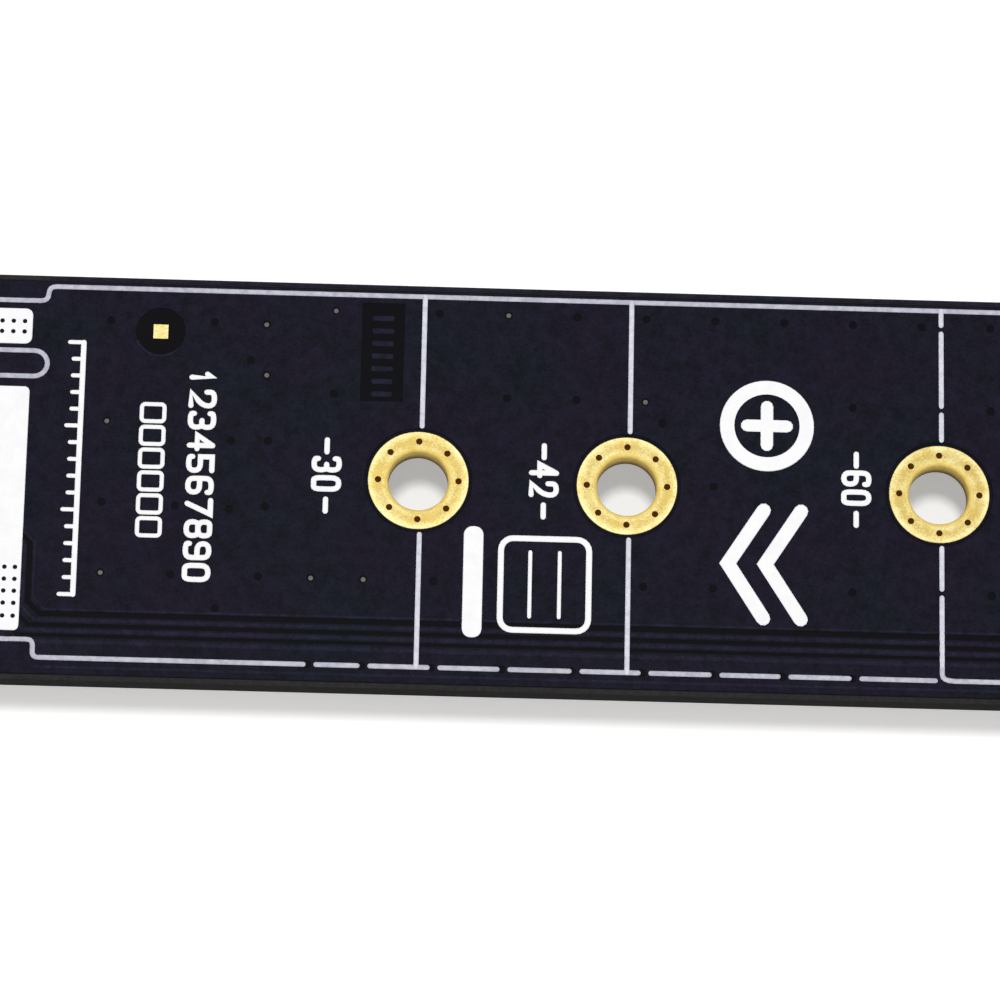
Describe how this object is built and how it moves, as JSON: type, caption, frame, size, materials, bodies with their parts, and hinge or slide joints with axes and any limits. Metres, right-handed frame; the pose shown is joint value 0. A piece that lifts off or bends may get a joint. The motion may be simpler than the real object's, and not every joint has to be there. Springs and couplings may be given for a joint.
{
  "type": "solid-state drive adapter card",
  "caption": "Narrow black strip board that carries a stick-shaped solid-state drive: drive socket below, plated holes along its axis for each drive length, host card edge at one end.",
  "frame": {"origin": "centre of the card's footprint, at the lowest face of its drive socket, which it lies on", "axes": "+X from the host card edge to the far end, +Z from the component face to the back face"},
  "size_m": [0.1024, 0.024, 0.0068],
  "materials": {
    "black_mask_board": "glass-fibre laminate under black solder mask, slightly glossy, with a faint violet cast",
    "gold_plating": "thin gold over copper",
    "black_moulding": "glass-filled moulded plastic, satin",
    "gilt_spring": "gold-plated copper alloy strip",
    "tinned_sheet": "tinned sheet, dull",
    "plain_brass": "turned brass, bare",
    "nickel_screw": "nickel-plated steel",
    "brown_ceramic": "fired ceramic, matt",
    "tinned_ends": "tinned end caps",
    "white_base": "white resin board",
    "clear_resin": "cloudy clear resin",
    "black_glaze": "black glazed film on ceramic"
  },
  "bodies": {
    "root": {"circuit_board": "black_mask_board", "plated_hole_30": "gold_plating", "plated_hole_42": "gold_plating", "plated_hole_60": "gold_plating", "plated_hole_80": "gold_plating", "host_contacts_front": "gold_plating", "host_contacts_back": "gold_plating", "fiducial_marks": "gold_plating", "socket_housing": "black_moulding", "socket_upper_contacts": "gilt_spring", "socket_lower_contacts": "gilt_spring", "socket_anchor_near": "tinned_sheet", "socket_anchor_far": "tinned_sheet", "drive_standoff": "plain_brass", "drive_screw": "nickel_screw", "standoff_screw": "nickel_screw", "supply_capacitor_1_body": "brown_ceramic", "supply_capacitor_1_ends": "tinned_ends", "supply_capacitor_2_body": "brown_ceramic", "supply_capacitor_2_ends": "tinned_ends", "supply_capacitor_3_body": "brown_ceramic", "supply_capacitor_3_ends": "tinned_ends", "supply_capacitor_4_body": "brown_ceramic", "supply_capacitor_4_ends": "tinned_ends", "lamp_base": "white_base", "lamp_ends": "tinned_ends", "lamp_lens": "clear_resin", "lamp_resistor_body": "black_glaze", "lamp_resistor_ends": "tinned_ends"}
  },
  "joints": []
}
